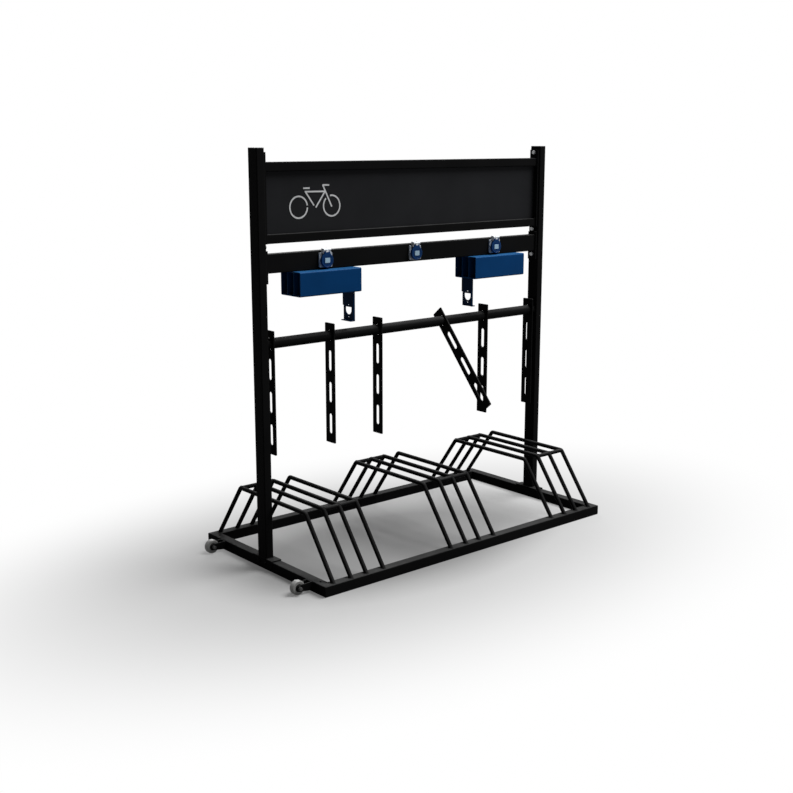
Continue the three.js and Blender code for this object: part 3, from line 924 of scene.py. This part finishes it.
outlines = [ring_outline(*ring, stroke_width) for ring in wheel_rings]
outlines += [strip_outline(first, last, stroke_width) for first, last in strokes]
front = -panel_thickness / 2
cut_strokes = [solid(cut_plate(outline, [], vinyl_thick * 2, vinyl_edge, facing_y(front, middle_x),
                               "stroke")) for outline in outlines]
piece_of(joined(*cut_strokes), "bicycle_pictogram", None, vinyl, slot="socket_pale")


# Socket rail: one flat rectangular tube from post to post, with bolted end plates like the
# sign's. It carries the three sockets and the two boxes.
rail_low = 0.999
rail_high = 1.062
rail_depth = 0.030
rail_plate_drop = 0.033
rail_plate_rise = 0.0103
rail_bolt_drop = 0.013

bm = cross_tube((rail_low + rail_high) / 2, rail_depth, rail_high - rail_low)
finish(bm, "socket_rail_tube", "socket_rail")
outline = rectangle(half, rail_low - rail_plate_drop, rail_high + rail_plate_rise)
end_plates(outline, [rail_low - rail_bolt_drop], "rail_end", "rail_plate")


# Sockets: a pale moulded flange on the rail with a blue collar and a blue insert, and a round
# blue lid with a pale label. The lid hangs on a pin between the flange's two hinge ears.
socket_places = (-0.395, 0.003, 0.401)
socket_plate = 0.006
socket_width = 0.054
socket_margin_low, socket_margin_high = 0.006, 0.0055
socket_corner = 0.006
socket_edge = 0.0012
collar_depth = 0.005
collar_wall = 0.003
collar_edge = 0.0006
lid_radius = 0.025
lid_rise = 0.0298
lid_thickness = 0.004
lid_overlap = 0.002
lid_profile = (
    (0.0006, 0), (0, 0.0006), (0, 0.0024), (0.0004, 0.0032), (0.0014, 0.0038),
    (0.0028, 0.0040), (0.0042, 0.0040), (0.0050, 0.0033),
)
insert_thick = 0.0015
insert_edge = 0.0003
pin_spread = 0.0095
contact_radius = 0.0026
flange_screw = 0.0022
screw_inset = 0.0048
screw_rim, screw_crown = 0.0006, 0.0011
screw_face = flange_screw * 0.6
hinge_radius = 0.005
hinge_rise = 0.0075
hinge_pin = 0.0015
hinge_edge = 0.0005
ear_corner, ear_edge = 0.0008, 0.0004
lid_knuckle = 0.010
end_knuckle = 0.010
lug_width = 0.024
lug_gap = 0.0008
lug_step = 0.0004
lug_corner, lug_edge = 0.0012, 0.0008
neck_overlap = 0.002
lid_gap = 0.0006
label_width = 0.0205
label_height = 0.0165
label_corner = 0.0012
label_rise = 0.0008
label_edge = 0.0002
pale_tone = (0.42, 0.47, 0.54)
hinge_tone = (0.84, 0.88, 0.92)
lid_tone = (0.0040, 0.0340, 0.1250)
insert_tone = (0.0040, 0.0260, 0.0800)
label_tone = (0.34, 0.50, 0.62)

pale_plastic = moulded("pale_grey_plastic", pale_tone, 0.42, 0.20)
hinge_plastic = moulded("white_hinge_plastic", hinge_tone, 0.42, 0.40)
lid_plastic = moulded("blue_lid_plastic", lid_tone, 0.30, 0.06)
insert_plastic = moulded("blue_insert_plastic", insert_tone, 0.45, 0.06)
label_film = moulded("pale_label_film", label_tone, 0.35, 0.40)
socket_back = -rail_depth / 2 - seam
socket_face = socket_back - socket_plate
socket_high = rail_high - socket_margin_high
socket_low = rail_low + socket_margin_low
socket_middle = (socket_low + socket_high) / 2
collar_face = socket_face - collar_depth
collar_radius = lid_radius - lid_overlap
lid_middle = rail_low + lid_rise
hinge_y = socket_face - hinge_radius
hinge_z = socket_high + hinge_rise


def turned(profile, centre, axis, steps=64, hollow=False):
    """Turns (radius, run) points round an axis: a closed ring, or a solid with flat ends."""
    bm = bmesh.new()
    turn = pointing(centre, axis)
    levels = [[turn @ Vector((u, v, run)) for u, v in circle(radius, steps=steps)]
              for radius, run in profile]
    if hollow:
        rings = [[bm.verts.new(point) for point in level] for level in levels]
        for first, second in zip(rings, rings[1:] + rings[:1]):
            bridge(bm, first, second)
    else:
        stack(bm, levels)
    outward(bm)
    return bm


def knuckle(x, length):
    """A round hinge knuckle along X with softened ends."""
    half = length / 2
    return turned([(hinge_radius - hinge_edge, -half), (hinge_radius, -half + hinge_edge),
                   (hinge_radius, half - hinge_edge), (hinge_radius - hinge_edge, half)],
                  (x, hinge_y, hinge_z), (1, 0, 0), 40)


for number, place in enumerate(socket_places, 1):
    x = middle_x + place
    node = f"socket_frame_{number}"
    outline = rounded_outline(socket_width, socket_high - socket_low, socket_corner, 8)
    flange = cut_plate(outline, [], socket_plate, socket_edge,
                       facing_y((socket_back + socket_face) / 2, x, socket_middle), "flange")
    piece_of(flange, f"socket_flange_{number}", node, pale_plastic, slot="socket_pale")

    inner_radius = collar_radius - collar_wall
    rim = collar_depth - collar_edge
    collar = turned([(collar_radius, 0), (collar_radius, rim),
                     (collar_radius - collar_edge, collar_depth),
                     (inner_radius + collar_edge, collar_depth), (inner_radius, rim),
                     (inner_radius, 0)], (x, socket_face, lid_middle), (0, -1, 0), 72, True)
    finish(collar, f"socket_collar_{number}", node, lid_plastic, slot="lid_blue")
    contacts = [circle(contact_radius, (side * pin_spread, 0), 24) for side in (-1, 1)]
    insert = cut_plate(circle(inner_radius - seam), contacts, insert_thick, insert_edge,
                       facing_y(socket_face - insert_thick / 2, x, lid_middle), "insert")
    piece_of(insert, f"socket_insert_{number}", node, insert_plastic, slot="lid_blue")

    ears, screws = [], []
    for side in (-1, 1):
        centre = x + side * (lid_knuckle / 2 + seam + end_knuckle / 2)
        ears.append(knuckle(centre, end_knuckle))
        depth = socket_back - seam - hinge_y
        low = socket_high - hinge_radius
        ears.append(rounded_block(
            (end_knuckle, depth, hinge_z + hinge_radius - low),
            (centre, hinge_y + depth / 2, low), ear_corner, ear_edge))
        screws += [(x + side * (socket_width / 2 - screw_inset), socket_face, z)
                   for z in (socket_low + screw_inset, socket_high - screw_inset)]
    for ear_name, pair in (("left", ears[:2]), ("right", ears[2:])):
        piece_of(joined(*pair), f"hinge_ear_{ear_name}_{number}", node, hinge_plastic,
                 slot="socket_pale")
    heads = [turned([(flange_screw, 0), (flange_screw, screw_rim),
                     (screw_face, screw_crown)], place, (0, -1, 0), 20)
             for place in screws]
    piece_of(joined(*heads), f"flange_screws_{number}", node, zinc, slot="axle_steel")

    pin_half = lid_knuckle / 2 + seam + end_knuckle
    pin = turned([(hinge_pin, -pin_half), (hinge_pin, pin_half)],
                 (x, hinge_y, hinge_z), (1, 0, 0), 20)
    finish(pin, f"hinge_pin_{number}", node, zinc, slot="axle_steel")

    body, node = f"lid_{number}", f"socket_lid_{number}"
    back = collar_face - lid_gap
    cover = turned([(lid_radius - inset, rise) for inset, rise in lid_profile],
                   (x, back, lid_middle), (0, -1, 0), 80)
    lug_low = lid_middle + lid_radius / 2
    lug_high = hinge_z - hinge_radius - lug_gap
    lug = rounded_block((lug_width, lid_thickness - lug_step, lug_high - lug_low),
                        (x, back - lid_thickness / 2, lug_low), lug_corner, lug_edge)
    piece_of(joined(cover, lug), f"lid_cover_{number}", node, lid_plastic, body, "lid_blue")
    neck = rounded_block((lid_knuckle, lid_thickness, hinge_z - lug_high + neck_overlap),
                         (x, back - lid_thickness / 2, lug_high - neck_overlap),
                         ear_corner, ear_edge)
    piece_of(joined(knuckle(x, lid_knuckle), neck), f"lid_hinge_{number}", node,
             hinge_plastic, body, "socket_pale")
    outline = rounded_outline(label_width, label_height, label_corner, 4)
    mesh = cut_plate(outline, [], label_rise * 2, label_edge,
                     facing_y(back - lid_thickness + joint_gap, x, lid_middle), "label")
    piece_of(mesh, f"lid_label_{number}", node, label_film, body, "socket_pale")


# Boxes: two open-ended sheet steel boxes under the rail, coated blue, each with two upright
# walls that make three channels. A slotted hanger plate is welded below its inner end.
box_inner = 0.270
box_length = 0.256
box_depth = 0.110
box_height = 0.082
box_wall = 0.003
box_corner = 0.005
box_edge = 0.0005
box_play = 0.0004
channel_corner = 0.002
channel_count = 3
hanger_low = 0.812
hanger_half = 0.027
hanger_shoulder = 0.005
hanger_neck_rise = 0.052
hanger_wall = 0.003
hanger_return = 0.008
hanger_inset = 0.015
hanger_foot = 0.012
hanger_edge = 0.0004
return_corner, return_edge = 0.0008, 0.0004
foot_corner, foot_plate_edge = 0.0020, 0.0006
opening_half = 0.0165
opening_rise = 0.048
opening_height = 0.026
pin_hole = 0.0025
pin_gap = 0.008
blue_tone = (0.0030, 0.0440, 0.1500)
# Painted top light: the lighter blues that these coats put on upward faces.
blue_lit_top = (0.0300, 0.1250, 0.2800)
navy_tone = (0.0010, 0.0120, 0.0400)
navy_lit_top = (0.0030, 0.0200, 0.0700)

blue_coat = coat("deep_blue_powder_coat", blue_tone, blue_lit_top, 0.40, 0.03)
navy_coat = coat("navy_powder_coat", navy_tone, navy_lit_top, 0.45, 0.02)

box_low = rail_low - box_height
hanger_neck = hanger_low + hanger_neck_rise
opening_top = hanger_low + opening_rise
channel = (box_depth - box_wall * (channel_count + 1)) / channel_count
for name, side in both_ends:
    height = box_height - box_play
    outline = rounded_outline(box_depth, height, box_corner, 6,
                              (0, box_low + box_height / 2))
    holes = []
    for index in range(channel_count):
        centre = -box_depth / 2 + box_wall + channel / 2 + index * (channel + box_wall)
        holes.append(rounded_outline(channel, height - 2 * box_wall, channel_corner, 3,
                                     (centre, box_low + box_height / 2)))
    centre = middle_x + side * (box_inner + box_length / 2)
    mesh = cut_plate(outline, holes, box_length, box_edge, facing_x(centre), "box_profile")
    piece_of(mesh, f"channel_box_{name}", f"box_{name}", blue_coat, slot="box_blue")

    outer = side * (box_inner + hanger_inset)
    inner = outer - side * hanger_wall
    web = [(-hanger_half, hanger_low), (hanger_half, hanger_low), (hanger_half, hanger_neck),
           (hanger_half + hanger_shoulder, hanger_neck), (hanger_half + hanger_shoulder, box_low),
           (-hanger_half, box_low)]
    straight = opening_height - opening_half
    opening = [(opening_half, opening_top), (-opening_half, opening_top)]
    opening += arc((0, opening_top - straight), opening_half,
                   [math.pi * (1 + step / 16) for step in range(17)])
    rounds = [circle(pin_hole, (0, z), 20)
              for z in (opening_top + pin_gap, opening_top - opening_height - pin_gap)]
    web = cut_plate(web, [opening, *rounds], hanger_wall, hanger_edge,
                    facing_x(middle_x + (outer + inner) / 2), "hanger_web")
    edge = rounded_block((hanger_return, hanger_wall, box_low - hanger_low),
                         (middle_x + outer - side * hanger_return / 2,
                          -hanger_half + hanger_wall / 2, hanger_low),
                         return_corner, return_edge)
    foot = rounded_block((hanger_foot + hanger_wall, 2 * hanger_half, hanger_wall),
                         (middle_x + (inner + outer + side * hanger_foot) / 2, 0, hanger_low),
                         foot_corner, foot_plate_edge)
    mesh = joined(solid(web), edge, foot)
    piece_of(mesh, f"hanger_web_{name}", f"hanger_{name}", navy_coat, slot="box_blue")


# Lock bar: a round tube between the posts. Six slotted flat straps swing on it and hold the
# bicycles' locks; one of them is raised to the front.
lock_z = 0.768
lock_radius = 0.018
lock_wall = 0.0025
strap_width = 0.050
strap_length = 0.420
strap_thick = 0.005
strap_above = 0.044
strap_play = 0.0006
strap_corner = 0.003
strap_edge = 0.0007
strap_places = (-0.614, -0.366, -0.155, 0.155, 0.366, 0.614)
strap_raised = 4
strap_tilt = math.radians(-40)
strap_slot_width = 0.017
strap_slot_length = 0.072
strap_slot_pitch = 0.111
strap_first_slot = 0.094
strap_slots = 3
arc_trim = 0.00001
weld_inset = 0.0003

lock_half = post_inner - joint_gap
bar = turned([(lock_radius, -lock_half), (lock_radius, lock_half),
              (lock_radius - lock_wall, lock_half), (lock_radius - lock_wall, -lock_half)],
             (middle_x, 0, lock_z), (1, 0, 0), 56, True)
finish(bar, "lock_tube", "lock_bar")
rings = [[(middle_x + side * (post_inner - weld_inset), y, z)
          for y, z in circle(lock_radius, (0, lock_z), 60)] for side in (-1, 1)]
weld(rings, "lock_tube_welds")

for number, place in enumerate(strap_places, 1):
    outline = rounded_outline(strap_width, strap_length, strap_corner, 4,
                              (0, strap_above - strap_length / 2))
    holes = [circle(lock_radius + strap_play)]
    for index in range(strap_slots):
        centre = (strap_above - strap_first_slot - strap_slot_length / 2
                  - index * strap_slot_pitch)
        holes.append(rounded_outline(strap_slot_width, strap_slot_length,
                                     strap_slot_width / 2 - arc_trim, 8, (0, centre)))
    mesh = cut_plate(outline, holes, strap_thick, strap_edge, facing_x(middle_x + place), "strap")
    if number == strap_raised:
        mesh.transform(Matrix.Rotation(strap_tilt, 4, "X"))
    mesh.transform(Matrix.Translation((0, 0, lock_z)))
    piece_of(mesh, f"strap_plate_{number}", f"lock_strap_{number}", body=f"strap_{number}")


# Transport wheels: two small plastic wheels at the left end. Each turns on a bolt in a fork
# of two steel arms, welded to the outer face of the short base tube.
wheel_places = (("front", -0.265), ("rear", 0.248))
wheel_reach = 0.049
wheel_radius = 0.024
wheel_half = 0.010
wheel_edge = 0.004
hub_radius = 0.013
hub_recess = 0.002
hub_dish = 0.003
rim_edge = 0.0006
tyre_lip = 0.0005
hub_taper = 0.002
wheel_bore = 0.0043
axle_radius = 0.004
axle_flats = 0.010
axle_head = 0.009
axle_nut = 0.006
axle_end = 0.002
fork_play = 0.0015
fork_wall = 0.004
fork_end = 0.011
fork_plate = 0.003
fork_drop = 0.017
fork_edge = 0.0005
weld_plate_edge = 0.0004
tyre_tone = (0.28, 0.28, 0.275)
hub_tone = (0.015, 0.015, 0.016)
axle_tone = (0.09, 0.09, 0.09)

tyre_rubber = moulded("grey_tyre_plastic", tyre_tone, 0.40, 0.60)
hub_plastic = moulded("dark_hub_plastic", hub_tone, 0.45, 0.10)
dark_steel = zinc_plate("dark_plated_steel", axle_tone)
wheel_x = middle_x - base_length / 2 - wheel_reach
fork_root = middle_x - base_length / 2 - seam
fork_near = wheel_half + fork_play
fork_low = wheel_radius - fork_drop
fork_high = tube_side - seam

for name, y in wheel_places:
    centre = (wheel_x, y, wheel_radius)
    body = f"roller_{name}"
    near = [(hub_radius, wheel_half - tyre_lip), (hub_radius + rim_edge, wheel_half)]
    near += [(wheel_radius - wheel_edge + wheel_edge * math.sin(angle),
              wheel_half - wheel_edge * (1 - math.cos(angle))) for angle in quarter_turn(6)]
    profile = [(radius, -run) for radius, run in near] + near[::-1]
    finish(turned(profile, centre, (0, 1, 0), 72, True), f"roller_tyre_{name}",
           f"wheel_{name}", tyre_rubber, body, "wheel_grey")
    recess = wheel_half - hub_recess
    face = wheel_half - rim_edge
    near = [(wheel_bore, recess), (hub_radius - hub_dish, recess),
            (hub_radius - hub_taper, face), (hub_radius, face)]
    profile = [(radius, -run) for radius, run in near] + near[::-1]
    finish(turned(profile, centre, (0, 1, 0), 56, True), f"roller_hub_{name}",
           f"wheel_{name}", hub_plastic, body, "wheel_grey")

    fork_half = fork_near + fork_wall
    parts = [rounded_block((fork_plate, 2 * fork_half, fork_high - fork_low),
                           (fork_root - fork_plate / 2, y, fork_low),
                           weld_plate_edge, weld_plate_edge)]
    for side in (-1, 1):
        arm = [(fork_root - fork_edge, fork_low), (fork_root - fork_edge, fork_high),
               (wheel_x, wheel_radius + fork_end)]
        arm += arc((wheel_x, wheel_radius), fork_end,
                   [math.pi / 2 + step / 12 * math.pi for step in range(1, 12)])
        arm.append((wheel_x, wheel_radius - fork_end))
        plane = facing_y(y + side * (fork_near + fork_wall / 2))
        parts.append(solid(cut_plate(arm, [], fork_wall, fork_edge, plane, "fork_arm")))
    piece_of(joined(*parts), f"roller_fork_{name}", f"wheel_fork_{name}")

    half = fork_half + axle_end
    axle = turned([(axle_radius, -half), (axle_radius, half)], centre, (0, 1, 0), 28)
    finish(axle, f"roller_bolt_{name}", f"wheel_axle_{name}", dark_steel, slot="axle_steel")
    for side, end_name, height in ((-1, "head", axle_head), (1, "nut", axle_nut)):
        bolts([(wheel_x, y + side * fork_half, wheel_radius)], (0, side, 0),
              f"roller_bolt_{end_name}_{name}", dark_steel, axle_flats, height)
